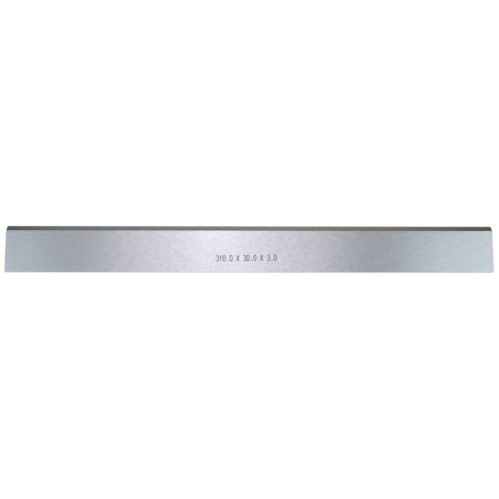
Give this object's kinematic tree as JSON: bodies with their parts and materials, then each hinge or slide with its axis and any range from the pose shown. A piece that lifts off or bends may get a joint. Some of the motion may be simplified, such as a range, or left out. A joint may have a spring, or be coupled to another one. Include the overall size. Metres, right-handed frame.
{
  "type": "planer knife",
  "caption": "Long flat planer knife of ground high-speed steel, with a single bevel to a cutting edge along its whole length.",
  "frame": {"origin": "middle of the flat back, which the knife lies on", "axes": "+X along the cutting edge, +Y from the heel to the cutting edge, +Z from the back to the front face"},
  "size_m": [0.31, 0.03, 0.003],
  "materials": {
    "ground_steel": "surface ground lengthwise"
  },
  "bodies": {
    "root": {"planer_knife": "ground_steel"}
  },
  "joints": []
}
